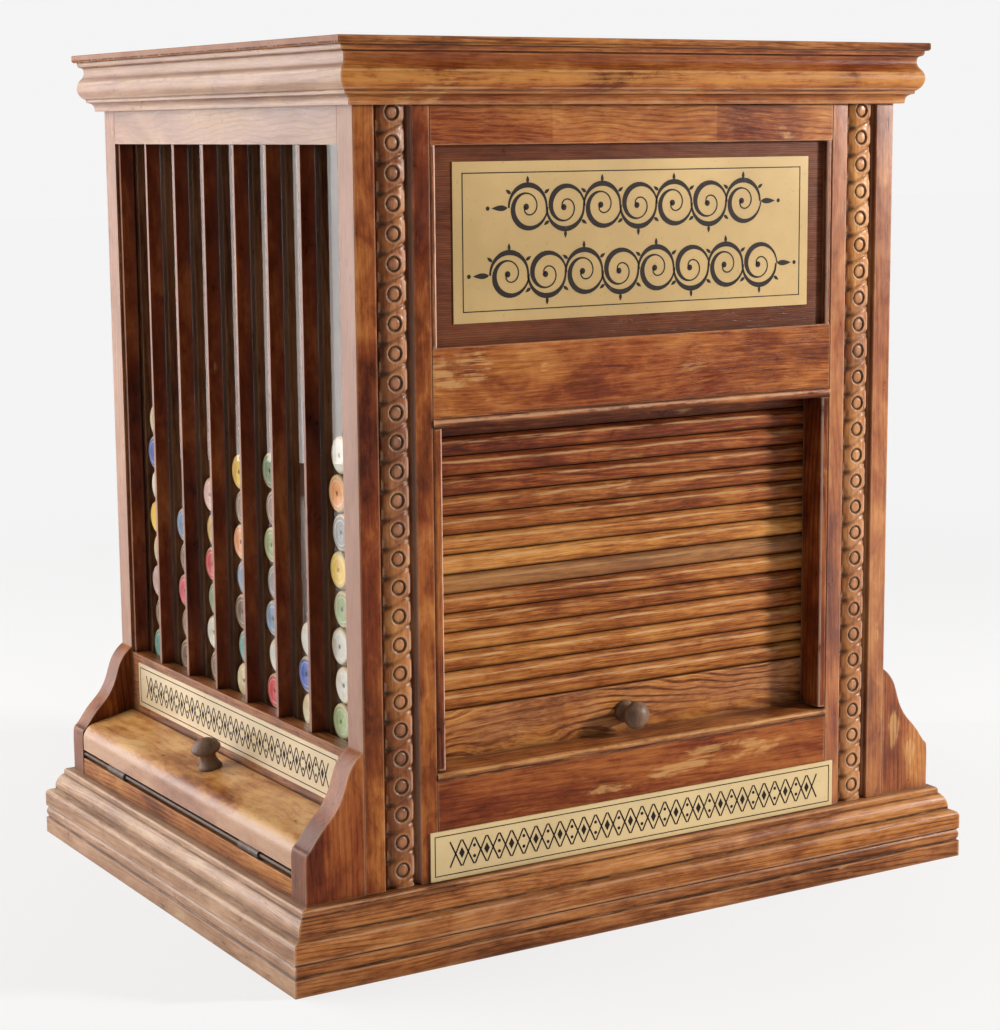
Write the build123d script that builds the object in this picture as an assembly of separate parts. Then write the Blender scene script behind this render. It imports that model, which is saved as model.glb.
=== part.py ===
from build123d import *
import math
import os

# A counter-top oak cabinet for cotton reels. The front holds a tall sign panel over a
# sliding tambour door. Each side has seven glazed chutes of reels above a trough with a
# hinged lid. The origin is the middle of the footprint, the front faces -Y, Z is up.
# All lengths are millimetres.

# Driving dimensions.
HEIGHT = 640.0             # floor to top
BODY_X = 231.5             # half width of the body
BODY_Y = 213.0             # half depth of the body
OVERHANG = 19.2            # cornice and base stand this far out
WING_REACH = 46.0          # the wings carry the base this far past the body's sides
FRONT_BOARD = 22.0         # thickness of the front frame
BACK_BOARD = 20.0          # thickness of the back frame
BASE_TOP = 55.6            # top of the base moulding
CORNICE_FOOT = 595.5       # underside of the cornice moulding
CORNICE_TOP = 634.2        # underside of the top board's edge
CARCASE_TOP = 628.0        # top of the boards behind the cornice
FRIEZE_FOOT = 569.5        # underside of the side friezes
LEDGE_TOP = 153.5          # top of the sign boards under the chutes
LEDGE_FOOT = 104.0         # underside of those sign boards
TROUGH_FLOOR = 68.0        # top of the trough floors
DOOR_FLOOR = 135.0         # floor of the store behind the door

# Front frame.
STILE_IN = 173.0           # inner edge of the front stiles
CHANNEL_IN = 187.3         # channel for the carved strip
CHANNEL_OUT = 215.2
CHANNEL_DEPTH = 5.0
STRIP_HALF = 10.2          # half width of the carved strip
TOP_RAIL_FOOT = 568.5
MIDDLE_RAIL_FOOT = 383.5
MIDDLE_RAIL_TOP = 432.0
HEAD_FOOT = 376.5          # top of the door opening
SILL_FOOT = 128.5
DOOR_HALF = 166.0          # half width of the door opening
ROSETTES = 27              # turned bosses on each carved strip
ROSETTE_PITCH = 20.08
ROSETTE_FIRST = 68.5       # height of the lowest boss

# Sliding door.
SLAT_PITCH = 14.0
SLAT_COUNT = 16
SLAT_THICK = 8.0
CANVAS_THICK = 0.8
DOOR_RAIL_FOOT = DOOR_FLOOR + 0.2
DOOR_RAIL_TOP = 171.0
RUN_GAP = 0.4              # between the door and the frame in front of it

# Chutes.
CHUTES = 7
CHUTE_PITCH = 53.3
FIRST_MUNTIN = 191.0       # centre of the rearmost glazing bar, along Y
DIVIDER_THICK = 16.0
GLASS_X = 218.3            # outer face of the glass
GLASS_THICK = 2.0
MUNTIN_X = 229.0           # outer edge of the glazing bars
CHUTE_BACK_X = 182.0       # chute side of the back wall
STORE_X = 176.0            # store side of the same wall

# Reels.
REEL_R = 14.0
REEL_FACE_R = 12.3
REEL_THREAD_R = 11.2
REEL_FLANGE = 4.0
REEL_LENGTH = 32.8
REEL_BORE_R = 3.6
# Number of gaps between reels, and the height of the top reel's axis, from back to front.
REEL_COLUMNS = [(10, 348.1), (7, 269.2), (8, 300.2), (9, 324.5), (9, 331.7), (5, 215.0), (10, 355.6)]
UPRIGHT_COLUMN = 5         # this column has one more reel, stood on end

# Trough lids.
HINGE_X = 275.2
HINGE_Z = 72.8
HINGE_STRIP_TOP = 69.4     # strip under the hinge
ROD_R = 1.6
KNUCKLE_R = 3.1
KNUCKLE_BORE_R = 1.65
KNUCKLE_HALF = 16.0
KNUCKLE_Y = 122.0
LID_THICK = 11.0
LID_FACE_X = 277.0
LID_FOOT = 76.5
LID_BACK_X = 233.0
LID_BACK_Z = 105.2
LID_SLOPE = 12.5           # degrees the lid's top falls outwards
LID_BEND_R = 12.0
LID_GAP = 1.0              # at each end

FRONT_IN = -BODY_Y + FRONT_BOARD     # inner face of the front frame
BACK_IN = BODY_Y - BACK_BOARD        # inner face of the back frame
WING_X = BODY_X + WING_REACH         # foot of the wings


def block(x0, x1, y0, y1, z0, z1):
    """A box between two corners."""
    size = Box(abs(x1 - x0), abs(y1 - y0), abs(z1 - z0))
    return Pos((x0 + x1) / 2, (y0 + y1) / 2, (z0 + z1) / 2) * size


def mirrored(shape):
    return mirror(shape, about=Plane.YZ)


def group(solids):
    return Compound(children=list(solids))


def save(name, shape):
    export_step(shape, f"parts/{name}.step")


def twins(left):
    """A piece of the left side, X below zero, with its twin on the right."""
    return group([left, mirrored(left)])


def save_pair(name, left):
    """Write a piece of the left side and its twin on the right as two nodes."""
    save(f"left_{name}", left)
    save(f"right_{name}", mirrored(left))


# ---------------------------------------------------------------- mouldings

def base_section():
    """Base moulding, as distance out from the wings and height."""
    inner = -25.0
    out = OVERHANG
    lower = Polyline((inner, 0), (out, 0), (out, 12.5), (out - 1.7, 13.6))
    bead = ThreePointArc((out - 1.7, 13.6), (out - 0.3, 17.6), (out - 1.7, 21.6))
    band = Polyline((out - 1.7, 21.6), (out, 23.0), (out, 32.5))
    nose = ThreePointArc((out, 32.5), (out - 0.9, 35.4), (out - 3.4, 37.0))
    quirk = Polyline((out - 3.4, 37.0), (12.6, 38.0), (12.6, 39.6))
    ovolo = ThreePointArc((12.6, 39.6), (11.4, 45.8), (8.0, 50.4))
    cap = Polyline((8.0, 50.4), (7.0, 50.9), (6.8, 54.4), (5.6, BASE_TOP), (inner, BASE_TOP), (inner, 0))
    return make_face(lower + bead + band + nose + quirk + ovolo + cap)


def cornice_section():
    """Cornice moulding, as distance out from the body and height."""
    foot = Polyline((0, CORNICE_FOOT), (5.6, CORNICE_FOOT), (6.0, 598.4))
    hollow = ThreePointArc((6.0, 598.4), (7.3, 601.0), (10.2, 602.4))
    step = Polyline((10.2, 602.4), (11.0, 602.6), (11.2, 604.8), (12.4, 605.4))
    bulge = ThreePointArc((12.4, 605.4), (16.4, 612.8), (13.4, 621.4))
    cove = ThreePointArc((13.4, 621.4), (11.8, 625.8), (12.6, 629.8))
    head = Polyline((12.6, 629.8), (15.2, 630.8), (15.9, 632.4), (15.9, CORNICE_TOP), (0, CORNICE_TOP),
                    (0, CORNICE_FOOT))
    return make_face(foot + hollow + step + bulge + cove + head)


def mitred_run(section, half_x, half_y, side, depth):
    """One length of a moulding round a rectangle, mitred at both corners.

    half_x and half_y are where the section's distance out is zero; depth is how far the
    section reaches inwards."""
    margin = 60.0
    planes = {
        "front": (Plane(origin=(0, -half_y, 0), x_dir=(0, -1, 0), z_dir=(-1, 0, 0)), half_x),
        "back": (Plane(origin=(0, half_y, 0), x_dir=(0, 1, 0), z_dir=(1, 0, 0)), half_x),
        "left": (Plane(origin=(-half_x, 0, 0), x_dir=(-1, 0, 0), z_dir=(0, 1, 0)), half_y),
        "right": (Plane(origin=(half_x, 0, 0), x_dir=(1, 0, 0), z_dir=(0, -1, 0)), half_y),
    }
    plane, half_run = planes[side]
    run = extrude(plane * section, amount=half_run + margin, both=True)
    outer_x, outer_y = half_x + margin, half_y + margin
    inner_x, inner_y = half_x - depth, half_y - depth
    corners = {
        "front": [(-outer_x, -outer_y), (outer_x, -outer_y), (inner_x, -inner_y), (-inner_x, -inner_y)],
        "back": [(outer_x, outer_y), (-outer_x, outer_y), (-inner_x, inner_y), (inner_x, inner_y)],
        "left": [(-outer_x, outer_y), (-outer_x, -outer_y), (-inner_x, -inner_y), (-inner_x, inner_y)],
        "right": [(outer_x, -outer_y), (outer_x, outer_y), (inner_x, inner_y), (inner_x, -inner_y)],
    }
    wedge = extrude(make_face(Polyline(*corners[side], close=True)), amount=HEIGHT + margin)
    return run & wedge


def make_mouldings():
    base = base_section()
    cornice = cornice_section()
    for side in ("front", "back", "left", "right"):
        save(f"base_{side}", mitred_run(base, WING_X, BODY_Y, side, 25.0))
        save(f"cornice_{side}", mitred_run(cornice, BODY_X, BODY_Y, side, 0.0))


def make_boards():
    """The board across the base, and the top with its rebated underside."""
    inside_x, inside_y = WING_X - 25.0, BODY_Y - 25.0
    save("bottom_board", block(-inside_x, inside_x, -inside_y, inside_y, BASE_TOP - 12, BASE_TOP))
    edge_x, edge_y = BODY_X + OVERHANG, BODY_Y + OVERHANG
    edge = block(-edge_x, edge_x, -edge_y, edge_y, CORNICE_TOP, HEIGHT)
    edge = fillet(edge.edges().group_by(Axis.Z)[0], 1.8)
    edge = fillet(edge.edges().group_by(Axis.Z)[-1], 0.9)
    plug = block(-BODY_X, BODY_X, -BODY_Y, BODY_Y, CARCASE_TOP, CORNICE_TOP)
    save("top_board", edge + plug)


# ---------------------------------------------------------------- front and back frames

def make_front_stile():
    stile = block(-BODY_X, -STILE_IN, -BODY_Y, FRONT_IN, BASE_TOP, CARCASE_TOP)
    channel = block(-CHANNEL_OUT, -CHANNEL_IN, -BODY_Y - 1, -BODY_Y + CHANNEL_DEPTH, BASE_TOP - 1, CORNICE_FOOT)
    save_pair("front_stile", stile - channel)


def make_carved_strip():
    """A bar with a row of turned bosses, planted in the stile's channel."""
    middle = -(CHANNEL_IN + CHANNEL_OUT) / 2
    floor_y = -BODY_Y + CHANNEL_DEPTH
    bar = block(middle - STRIP_HALF, middle + STRIP_HALF, floor_y - 3.2, floor_y, BASE_TOP, CORNICE_FOOT)
    boss = Rot(90, 0, 0) * Cylinder(6.0, 1.6, align=(Align.CENTER, Align.CENTER, Align.MIN))
    for i in range(ROSETTES - 1):
        height = ROSETTE_FIRST + i * ROSETTE_PITCH
        bar += Pos(middle, floor_y - 3.2, height) * boss
    save_pair("carved_strip", bar)


def make_front_rails():
    for name, low, high in (("top_rail", TOP_RAIL_FOOT, CARCASE_TOP), ("bottom_rail", BASE_TOP, SILL_FOOT),
                            ("middle_rail", MIDDLE_RAIL_FOOT, MIDDLE_RAIL_TOP)):
        save(f"front_{name}", block(-STILE_IN, STILE_IN, -BODY_Y, FRONT_IN, low, high))


def make_door_opening():
    """The moulded strips round the door opening: head, jambs and weathered sill."""
    head = block(-STILE_IN, STILE_IN, -BODY_Y - 1.2, FRONT_IN, HEAD_FOOT, MIDDLE_RAIL_FOOT)
    head = fillet(head.edges().filter_by(Axis.X).group_by(Axis.Y)[0], 2.4)
    jamb = block(-STILE_IN, -DOOR_HALF, -BODY_Y - 0.6, FRONT_IN, DOOR_FLOOR + 1, HEAD_FOOT)
    jamb = fillet(jamb.edges().filter_by(Axis.Z).group_by(Axis.Y)[0], 2.2)
    save("door_surround", group([head, jamb, mirrored(jamb)]))
    nose_y = -BODY_Y - 1.2
    profile = Polyline((FRONT_IN, SILL_FOOT), (FRONT_IN, DOOR_FLOOR + 1), (nose_y + 3, DOOR_FLOOR - 1))
    nose = ThreePointArc((nose_y + 3, DOOR_FLOOR - 1), (nose_y + 0.6, DOOR_FLOOR - 2.2), (nose_y, SILL_FOOT + 2))
    under = Polyline((nose_y, SILL_FOOT + 2), (nose_y + 1.0, SILL_FOOT), (FRONT_IN, SILL_FOOT))
    face = Plane.YZ * make_face(profile + nose + under)
    save("door_sill", extrude(face, amount=STILE_IN, both=True))


def make_sign():
    """The tall panel over the door, its upright beads and its plate."""
    panel_y = -BODY_Y + 5.0
    save("sign_panel", block(-STILE_IN, STILE_IN, panel_y, panel_y + 8, MIDDLE_RAIL_TOP, TOP_RAIL_FOOT))
    bead = block(-STILE_IN, -STILE_IN + 4.5, -BODY_Y, panel_y, MIDDLE_RAIL_TOP, TOP_RAIL_FOOT)
    bead = fillet(bead.edges().filter_by(Axis.Z).group_by(Axis.Y)[0], 2.0)
    save("sign_beads", twins(bead))
    save("sign_plate", block(-153.4, 153.4, panel_y - 0.8, panel_y, 447.1, 557.2))
    save("front_plate", block(-180, 180, -BODY_Y - 1.2, -BODY_Y, BASE_TOP + 0.6, 92.0))


def make_back():
    """A plain frame and panel."""
    pieces = []
    for x0, x1, z0, z1 in ((-BODY_X, -STILE_IN, BASE_TOP, CARCASE_TOP), (STILE_IN, BODY_X, BASE_TOP, CARCASE_TOP),
                           (-STILE_IN, STILE_IN, BASE_TOP, 120), (-STILE_IN, STILE_IN, 560, CARCASE_TOP)):
        pieces.append(block(x0, x1, BACK_IN, BODY_Y, z0, z1))
    save("back_frame", group(pieces))
    save("back_panel", block(-STILE_IN, STILE_IN, BODY_Y - 15, BODY_Y - 6, 120, 560))


def wing(y0, y1):
    """An S-curved bracket that carries the line of the body out to the base."""
    top = LEDGE_TOP + 4.0
    curve = Spline((0, top), (11.0, 144.5), (15.6, 131.0), (23.0, 117.5), (34.5, 105.0), (42.8, 94.0),
                   (WING_REACH, 80.0), tangents=[(0.9, -0.6), (0, -1)])
    rest = Polyline((WING_REACH, 80.0), (WING_REACH, BASE_TOP), (0, BASE_TOP), (0, top))
    plane = Plane(origin=(-BODY_X, y0, 0), x_dir=(-1, 0, 0), z_dir=(0, 1, 0))
    board = extrude(plane * make_face(curve + rest), amount=y1 - y0)
    return board - rod_body()


def make_wings():
    front = wing(-BODY_Y, FRONT_IN)
    rear = wing(BACK_IN, BODY_Y)
    save_pair("front_wing", front)
    save_pair("rear_wing", rear)


# ---------------------------------------------------------------- chutes

def muntin_centres():
    return [FIRST_MUNTIN - i * CHUTE_PITCH for i in range(CHUTES)]


def divider_spans():
    """Low and high Y of each divider, from back to front. The end ones meet the frames."""
    half = DIVIDER_THICK / 2
    spans = [(y - half, min(y + half, BACK_IN)) for y in muntin_centres()]
    last_high = FIRST_MUNTIN - CHUTES * CHUTE_PITCH + half
    return spans + [(FRONT_IN, last_high)]


def make_side_frame():
    """Frieze over the chutes, sign board under them, both rebated for the glass."""
    frieze = block(-BODY_X, -(GLASS_X - GLASS_THICK), FRONT_IN, BACK_IN, FRIEZE_FOOT, CARCASE_TOP)
    board = block(-BODY_X, -(GLASS_X - GLASS_THICK), FRONT_IN, BACK_IN, LEDGE_FOOT, LEDGE_TOP)
    glass = glass_pane()
    save_pair("frieze", frieze - glass)
    save_pair("sign_board", board - glass)
    save_pair("glass", glass)
    save("side_plates", twins(block(-BODY_X - 0.8, -BODY_X, -177.5, 177.5, 111.6, 147.3)))


def glass_pane():
    low, high = LEDGE_TOP - 8, FRIEZE_FOOT + 8
    return block(-GLASS_X, -(GLASS_X - GLASS_THICK), FRONT_IN, BACK_IN, low, high)


def make_muntins():
    """Seven upright glazing bars with hollowed flanks, set just back from the sign board."""
    outer, inner = 1.8, 3.4
    bars = []
    for y in muntin_centres():
        high = min(inner, BACK_IN - y)
        edge = min(outer, BACK_IN - y)
        start, end = (-MUNTIN_X, y - outer), (-GLASS_X, y - inner)
        hollow = ThreePointArc(start, (-(GLASS_X + 4.2), y - outer - 0.3), end)
        back = Polyline(end, (-GLASS_X, y + high), (-(GLASS_X + 4.2), y + edge), (-MUNTIN_X, y + edge), start)
        bar = extrude(make_face(hollow + back), amount=FRIEZE_FOOT - LEDGE_TOP)
        bars.append(Pos(0, 0, LEDGE_TOP) * bar)
    save_pair("glazing_bars", group(bars))


def make_dividers():
    front_x = GLASS_X - GLASS_THICK - 0.5
    walls = [block(-front_x, -CHUTE_BACK_X, low, high, TROUGH_FLOOR, CARCASE_TOP) for low, high in divider_spans()]
    save_pair("chute_dividers", group(walls))
    save_pair("chute_back", block(-CHUTE_BACK_X, -STORE_X, FRONT_IN, BACK_IN, TROUGH_FLOOR, CARCASE_TOP))


def reel():
    """One wooden reel full of thread, its axis along X and its middle at the origin."""
    half = REEL_LENGTH / 2
    profile = Polyline((-half, REEL_BORE_R), (-half, REEL_FACE_R), (-half + 1.6, REEL_R),
                       (-half + REEL_FLANGE - 1.2, REEL_R), (-half + REEL_FLANGE, REEL_THREAD_R),
                       (half - REEL_FLANGE, REEL_THREAD_R), (half - REEL_FLANGE + 1.2, REEL_R),
                       (half - 1.6, REEL_R), (half, REEL_FACE_R), (half, REEL_BORE_R), close=True)
    return revolve(make_face(profile), axis=Axis.X)


def make_reels():
    """The stock in the chutes. Reels lie on the trough floor and zigzag up each chute."""
    one = reel()
    middle_x = -(CHUTE_BACK_X + 0.4 + REEL_LENGTH / 2)
    lowest = TROUGH_FLOOR + REEL_R
    spans = divider_spans()
    stock = []
    for column, (gaps, top) in enumerate(REEL_COLUMNS):
        middle_y = (spans[column][0] + spans[column + 1][1]) / 2
        step = (top - lowest) / gaps
        sway = math.sqrt((2 * REEL_R) ** 2 - step ** 2) / 2 + 0.1
        for i in range(gaps + 1):
            y = middle_y + (sway if (i + column) % 2 else -sway)
            stock.append(Pos(middle_x, y, lowest + i * step) * one)
        if column == UPRIGHT_COLUMN:
            stand = top + REEL_R + REEL_LENGTH / 2 + 0.2
            stock.append(Pos(middle_x, middle_y, stand) * Rot(0, 90, 0) * one)
    save_pair("reels", group(stock))


# ---------------------------------------------------------------- troughs and lids

def rod_body():
    """The hinge rod, let 4 mm into the wing at each end."""
    middle = (FRONT_IN + BACK_IN) / 2
    return Pos(-HINGE_X, middle, HINGE_Z) * Rot(90, 0, 0) * Cylinder(ROD_R, BACK_IN - FRONT_IN + 8)


def make_trough():
    inner = LID_FACE_X - 12.0
    save("trough_floors", twins(block(-inner, -STORE_X, FRONT_IN, BACK_IN, BASE_TOP, TROUGH_FLOOR)))
    save("hinge_strips", twins(block(-LID_FACE_X, -inner, FRONT_IN, BACK_IN, BASE_TOP, HINGE_STRIP_TOP)))
    save("hinge_rods", twins(rod_body()))


def lid_top(x):
    """Height of the lid's sloping top at a distance x out from the middle."""
    return LID_BACK_Z - (x - LID_BACK_X) * math.tan(math.radians(LID_SLOPE))


def lid_outline():
    """Lid section on the left, in X and Z: a flat top that falls to a rounded nose."""
    slope = math.radians(LID_SLOPE)
    bend = math.radians(90 - LID_SLOPE)
    back = LID_BEND_R * math.tan(bend / 2)
    crown_x = LID_FACE_X - back * math.cos(slope)
    crown = (-crown_x, lid_top(crown_x))
    side = (-LID_FACE_X, lid_top(LID_FACE_X) - back)
    mid = (side[0] + LID_BEND_R * (1 - math.cos(bend / 2)), side[1] + LID_BEND_R * math.sin(bend / 2))
    under_back = (-LID_BACK_X + LID_THICK * math.sin(slope), LID_BACK_Z - LID_THICK * math.cos(slope))
    inner_x = -LID_FACE_X + LID_THICK
    inner_z = under_back[1] - (under_back[0] - inner_x) * math.tan(slope)
    foot = Polyline(side, (-LID_FACE_X, LID_FOOT), (inner_x, LID_FOOT), (inner_x, inner_z), under_back,
                    (-LID_BACK_X, LID_BACK_Z), crown)
    return make_face(foot + ThreePointArc(crown, mid, side))


def knob(cap_r, length, tenon):
    """A turned knob on +Z, its foot at the origin and a tenon below."""
    foot_r, neck_r, brow_r, tenon_r = cap_r * 0.78, cap_r * 0.46, cap_r * 0.62, 3.0
    rim_z = length * 0.7
    crown_r = (cap_r ** 2 + (length - rim_z) ** 2) / (2 * (length - rim_z))
    crown_half = math.asin(cap_r / crown_r) / 2
    crown_mid = (crown_r * math.sin(crown_half), length - crown_r * (1 - math.cos(crown_half)))
    start = Polyline((0, -tenon), (tenon_r, -tenon), (tenon_r, 0), (foot_r, 0), (foot_r, length * 0.1))
    waist = ThreePointArc((foot_r, length * 0.1), (neck_r, length * 0.3), (brow_r, length * 0.5))
    flare = ThreePointArc((brow_r, length * 0.5), (cap_r * 0.93, length * 0.59), (cap_r, rim_z))
    crown = ThreePointArc((cap_r, rim_z), crown_mid, (0, length))
    face = make_face(start + waist + flare + crown + Polyline((0, length), (0, -tenon)))
    return revolve(Plane.XZ * face, axis=Axis.Z)


def knob_place():
    """On the middle of the lid's sloping top, square to it."""
    x = 250.0
    return Pos(-x, 0, lid_top(x)) * Rot(0, -LID_SLOPE, 0)


def make_lid():
    section = Plane(origin=(0, 0, 0), x_dir=(1, 0, 0), z_dir=(0, -1, 0)) * lid_outline()
    low, high = FRONT_IN + LID_GAP, BACK_IN - LID_GAP
    lid = Pos(0, high, 0) * extrude(section, amount=high - low)
    handle = knob_place() * knob(11.5, 24.0, 7.0)
    save_pair("lid", lid - handle)
    save_pair("lid_knob", handle)
    leaves = []
    for y in (-KNUCKLE_Y, KNUCKLE_Y):
        place = Pos(-HINGE_X, y, HINGE_Z) * Rot(90, 0, 0)
        leaf = block(-LID_FACE_X + 0.4, -LID_FACE_X + LID_THICK - 0.6, y - KNUCKLE_HALF, y + KNUCKLE_HALF,
                     LID_FOOT - 1.2, LID_FOOT)
        barrel = place * Cylinder(KNUCKLE_R, 2 * KNUCKLE_HALF)
        leaves.append(barrel + leaf - place * Cylinder(KNUCKLE_BORE_R, 3 * KNUCKLE_HALF))
    save_pair("lid_hinges", group(leaves))


# ---------------------------------------------------------------- store and sliding door

def make_store():
    save("store_floor", block(-STORE_X, STORE_X, FRONT_IN, BACK_IN, DOOR_FLOOR - 12, DOOR_FLOOR))
    rear_y = FRONT_IN + RUN_GAP + SLAT_THICK + CANVAS_THICK + 0.6
    guide = block(-STORE_X, -STORE_X + 15, rear_y, rear_y + 10, DOOR_FLOOR, CARCASE_TOP)
    save("door_guides", twins(guide))


def slat_section(front, back, foot):
    """A slat with a sloping top facet over a nearly upright face, open at the joints."""
    gap = 0.35
    low, high = foot + gap, foot + SLAT_PITCH - gap
    return Polyline((back, low), (back, high), (front + 3.4, high), (front, foot + 0.64 * SLAT_PITCH),
                    (front + 0.5, foot + 0.22 * SLAT_PITCH), (front + 2.4, low), close=True)


def make_door():
    half = STORE_X - 0.8
    front = FRONT_IN + RUN_GAP
    back = front + SLAT_THICK
    slats = []
    for i in range(SLAT_COUNT):
        foot = DOOR_RAIL_TOP + i * SLAT_PITCH
        face = Plane.YZ * make_face(slat_section(front, back, foot))
        slats.append(extrude(face, amount=half, both=True))
    save("door_slats", group(slats))
    cloth_top = DOOR_RAIL_TOP + SLAT_COUNT * SLAT_PITCH - 1
    cloth_half = half - 8
    save("door_canvas", block(-cloth_half, cloth_half, back, back + CANVAS_THICK, DOOR_RAIL_FOOT + 6, cloth_top))
    rail = block(-half, half, front, back, DOOR_RAIL_FOOT, DOOR_RAIL_TOP)
    rail = fillet(rail.edges().filter_by(Axis.X).group_by(Axis.Y)[0], 1.0)
    handle = Pos(0, front, 151.0) * Rot(90, 0, 0) * knob(10.6, 24.3, 6.0)
    save("door_rail", rail - handle)
    save("door_knob", handle)


def main():
    os.makedirs("parts", exist_ok=True)
    make_mouldings()
    make_boards()
    make_front_stile()
    make_carved_strip()
    make_front_rails()
    make_door_opening()
    make_sign()
    make_back()
    make_wings()
    make_side_frame()
    make_muntins()
    make_dividers()
    make_reels()
    make_trough()
    make_lid()
    make_store()
    make_door()


main()
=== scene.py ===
import math
import random

import bpy
import numpy as np
from mathutils import Matrix, Vector


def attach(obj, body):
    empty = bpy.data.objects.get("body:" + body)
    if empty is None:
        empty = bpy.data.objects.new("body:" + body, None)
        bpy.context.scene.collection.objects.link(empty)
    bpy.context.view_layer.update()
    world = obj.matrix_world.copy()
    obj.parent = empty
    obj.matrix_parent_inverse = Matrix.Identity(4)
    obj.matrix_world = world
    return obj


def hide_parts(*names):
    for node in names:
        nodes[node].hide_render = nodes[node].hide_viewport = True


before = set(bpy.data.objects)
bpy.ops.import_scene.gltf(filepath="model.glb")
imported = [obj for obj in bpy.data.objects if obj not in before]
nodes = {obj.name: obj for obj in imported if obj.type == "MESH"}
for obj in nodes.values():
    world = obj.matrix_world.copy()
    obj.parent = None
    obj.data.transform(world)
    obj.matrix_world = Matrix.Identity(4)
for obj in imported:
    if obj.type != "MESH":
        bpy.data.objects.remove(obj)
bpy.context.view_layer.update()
scene = bpy.context.scene
MM = 0.001
X, Y, Z = 0, 1, 2


# ---- node short-hand

def rgba(tone):
    return (*tone, 1.0)


def scaled(tone, k):
    return tuple(c * k for c in tone)


class Shader:
    """Builds one node tree: a new material's, or the tree that it is given."""

    def __init__(self, name, tree=None):
        if tree is None:
            self.material = bpy.data.materials.new(name)
            self.material.use_nodes = True
            tree = self.material.node_tree
        self.tree = tree
        tree.nodes.clear()

    def add(self, kind, inputs=None, **props):
        node = self.tree.nodes.new("ShaderNode" + kind)
        for key, value in props.items():
            setattr(node, key, value)
        for key, value in (inputs or {}).items():
            self.feed(node.inputs[key], value)
        return node

    def feed(self, socket, value):
        if isinstance(value, bpy.types.NodeSocket):
            self.tree.links.new(value, socket)
        else:
            socket.default_value = value

    def math(self, operation, a, b=0.0, clamp=False):
        return self.add("Math", {0: a, 1: b}, operation=operation, use_clamp=clamp).outputs[0]

    def plus(self, a, b):
        return self.math("ADD", a, b)

    def minus(self, a, b):
        return self.math("SUBTRACT", a, b)

    def times(self, a, b):
        return self.math("MULTIPLY", a, b)

    def swing(self, layer, amount):
        """A 0 to 1 layer as a swing of amount about nought."""
        return self.times(self.minus(layer, 0.5), amount)

    def mix(self, factor, a, b, blend="MIX"):
        node = self.add("Mix", {"Factor": factor}, data_type="RGBA", blend_type=blend)
        for socket, value in ((node.inputs[6], a), (node.inputs[7], b)):
            self.feed(socket, value if isinstance(value, bpy.types.NodeSocket) else rgba(value))
        return node.outputs[2]

    def coat(self, colour, mask, amount, tone):
        """The colour with as much of the tone on it as the mask and the amount say."""
        return self.mix(self.times(mask, amount), colour, tone)

    def ramp(self, factor, low, high):
        """0 at low, 1 at high, smooth between. low may be the larger of the two."""
        spread = {"Value": factor, "From Min": low, "From Max": high}
        return self.add("MapRange", spread, interpolation_type="SMOOTHSTEP").outputs[0]

    def palette(self, factor, tones, places=(0.0, 0.34, 0.6, 1.0)):
        node = self.add("ValToRGB", {"Fac": factor})
        ramp = node.color_ramp
        while len(ramp.elements) < len(tones):
            ramp.elements.new(0.5)
        for element, place, tone in zip(ramp.elements, places, tones):
            element.position = place
            element.color = rgba(tone)
        return node.outputs["Color"]

    def vector(self, operation, a, b):
        return self.add("VectorMath", {0: a, 1: b}, operation=operation).outputs[0]

    def split(self, vector):
        return self.add("SeparateXYZ", {0: vector}).outputs

    def joined(self, x=0.0, y=0.0, z=0.0):
        return self.add("CombineXYZ", {0: x, 1: y, 2: z}).outputs[0]

    def noise(self, place, stretch, detail=2.0, roughness=0.5, distortion=0.0, output=0):
        """Noise with stretch periods in a metre along each axis."""
        node = self.add("TexNoise", {"Vector": self.vector("MULTIPLY", place, stretch), "Scale": 1.0,
                                     "Detail": detail, "Roughness": roughness, "Distortion": distortion})
        return node.outputs[output]

    def own_place(self):
        return self.add("TexCoord").outputs["Object"]

    def facing(self):
        return self.split(self.add("TexCoord").outputs["Normal"])

    def layer(self, name):
        """The piece's own colour attribute."""
        return self.add("Attribute", attribute_name=name).outputs["Color"]

    def grain_space(self, axis, seed):
        """The piece's own place in metres, with Z turned along the grain, and its parts unturned."""
        parts = self.split(self.own_place())
        order = {X: (Y, Z, X), Y: (X, Z, Y), Z: (X, Y, Z)}[axis]
        turned = self.joined(*(parts[i] for i in order))
        return self.vector("ADD", turned, (seed * 3.17, seed * 1.93, seed * 0.71)), parts

    def edge_wear(self, radius):
        """0 on flats, and more the sharper the outer edge."""
        rounded = self.add("Bevel", {"Radius": radius}, samples=3).outputs[0]
        flat = self.add("NewGeometry").outputs["True Normal"]
        together = self.add("VectorMath", {0: rounded, 1: flat}, operation="DOT_PRODUCT").outputs["Value"]
        return self.minus(1.0, together)

    def hollow(self, distance):
        """1 in the open, falling to 0 deep in a crevice."""
        return self.add("AmbientOcclusion", {"Distance": distance}, samples=3).outputs["AO"]

    def either(self, factor, a, b):
        return self.add("MixShader", {"Fac": factor, 1: a.outputs[0], 2: b.outputs[0]})

    def show(self, shading, kind="OutputMaterial"):
        self.tree.links.new(shading.outputs[0], self.add(kind).inputs["Surface"])

    def finish(self, colour, roughness, height, strength, distance, **sockets):
        """A principled surface with a bump of the given strength and distance in millimetres."""
        bump = {"Height": height, "Strength": strength, "Distance": distance * MM}
        surface = self.add("BsdfPrincipled", {"Base Color": colour, "Roughness": roughness,
                                              "Normal": self.add("Bump", bump).outputs[0]})
        for name, value in sockets.items():
            self.feed(surface.inputs[name.replace("_", " ")], value)
        self.show(surface)
        return self.material


# ---- wood

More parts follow.
